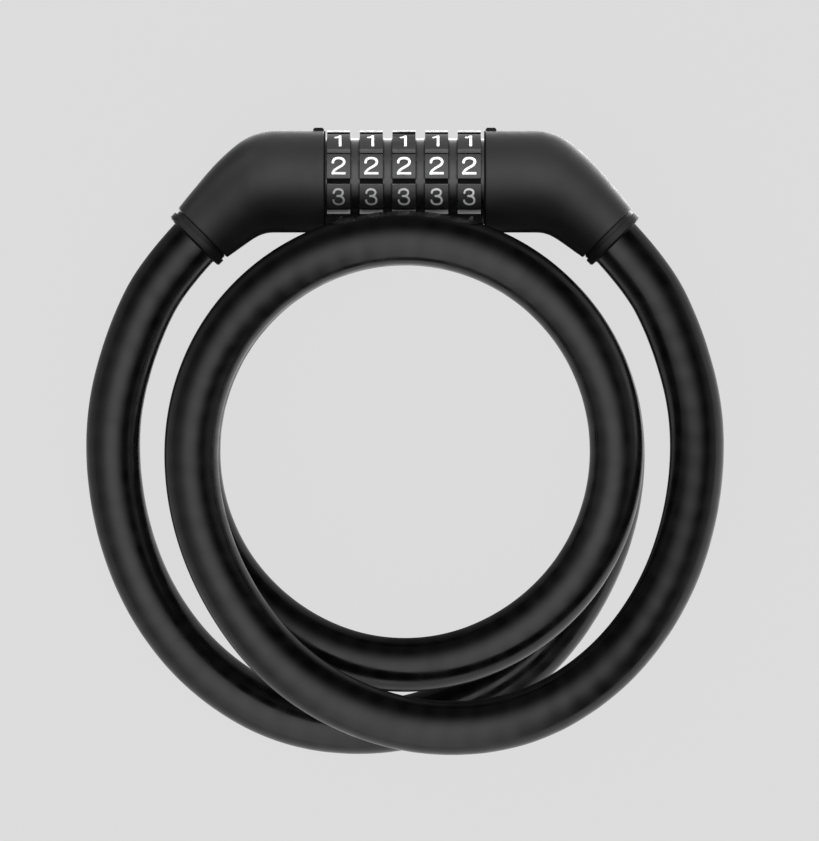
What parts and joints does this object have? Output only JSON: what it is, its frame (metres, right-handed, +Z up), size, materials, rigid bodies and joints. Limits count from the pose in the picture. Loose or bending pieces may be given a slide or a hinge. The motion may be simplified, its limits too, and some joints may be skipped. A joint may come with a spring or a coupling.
{
  "type": "cable lock",
  "caption": "Coiled cable lock with a straight combination head between two angled end housings, closed and lying flat.",
  "frame": {"origin": "middle of the cable's coil, on the surface that the lock lies on", "axes": "+Z up from the resting surface, +X along the head from the barrel side to the plug side, +Y from the middle of the coil to the head"},
  "size_m": [0.1418, 0.1394, 0.0384],
  "materials": {
    "housing_cover": "soft-touch matte black",
    "collar_plastic": "satin black",
    "wheel_plastic": "satin black with white numbers",
    "spacer_plastic": "satin black",
    "cable_sheath": "satin black vinyl",
    "steel_strand": "stranded",
    "steel": "turned",
    "spring_steel": "blued",
    "cast_zinc": "as cast"
  },
  "bodies": {
    "barrel_side": {"barrel_elbow_cover": "housing_cover", "barrel_elbow_insert": "cast_zinc", "barrel_cable_collar": "collar_plastic", "barrel_index_mark": "collar_plastic", "barrel_ferrule": "steel", "barrel_ferrule_pin": "steel", "barrel_cross_pin": "steel", "lock_barrel": "steel", "detent_spring": "spring_steel", "barrel_retaining_ring": "steel", "spacer_ring_1": "spacer_plastic", "spacer_ring_2": "spacer_plastic", "spacer_ring_3": "spacer_plastic", "spacer_ring_4": "spacer_plastic", "cable_sheath": "cable_sheath", "cable_core": "steel_strand"},
    "wheel_1": {"dial_wheel_1": "wheel_plastic", "wheel_hub_1": "cast_zinc"},
    "wheel_2": {"dial_wheel_2": "wheel_plastic", "wheel_hub_2": "cast_zinc"},
    "wheel_3": {"dial_wheel_3": "wheel_plastic", "wheel_hub_3": "cast_zinc"},
    "wheel_4": {"dial_wheel_4": "wheel_plastic", "wheel_hub_4": "cast_zinc"},
    "wheel_5": {"dial_wheel_5": "wheel_plastic", "wheel_hub_5": "cast_zinc"},
    "plug_side": {"plug_elbow_cover": "housing_cover", "plug_elbow_insert": "cast_zinc", "plug_cable_collar": "collar_plastic", "plug_index_mark": "collar_plastic", "plug_ferrule": "steel", "plug_ferrule_pin": "steel", "locking_shank": "steel", "shank_cross_pin": "steel", "cable_lead_sheath": "cable_sheath", "cable_lead_core": "steel_strand"}
  },
  "joints": [
    {"name": "wheel_1_turn", "type": "hinge", "parent": "barrel_side", "child": "wheel_1", "pos_m": [-0.01471, 0.05993, 0.0192], "axis": [1, 0, 0], "continuous": true, "deforming": ["detent_spring"]},
    {"name": "wheel_2_turn", "type": "hinge", "parent": "barrel_side", "child": "wheel_2", "pos_m": [-0.00746, 0.05993, 0.0192], "axis": [1, 0, 0], "continuous": true, "deforming": ["detent_spring"]},
    {"name": "wheel_3_turn", "type": "hinge", "parent": "barrel_side", "child": "wheel_3", "pos_m": [-0.00021, 0.05993, 0.0192], "axis": [1, 0, 0], "continuous": true, "deforming": ["detent_spring"]},
    {"name": "wheel_4_turn", "type": "hinge", "parent": "barrel_side", "child": "wheel_4", "pos_m": [0.00704, 0.05993, 0.0192], "axis": [1, 0, 0], "continuous": true, "deforming": ["detent_spring"]},
    {"name": "wheel_5_turn", "type": "hinge", "parent": "barrel_side", "child": "wheel_5", "pos_m": [0.01429, 0.05993, 0.0192], "axis": [1, 0, 0], "continuous": true, "deforming": ["detent_spring"]},
    {"name": "plug_slide", "type": "slide", "parent": "barrel_side", "child": "plug_side", "axis": [1, 0, 0], "range_m": [0, 0.042], "deforming": ["cable_lead_sheath", "cable_lead_core"]}
  ]
}
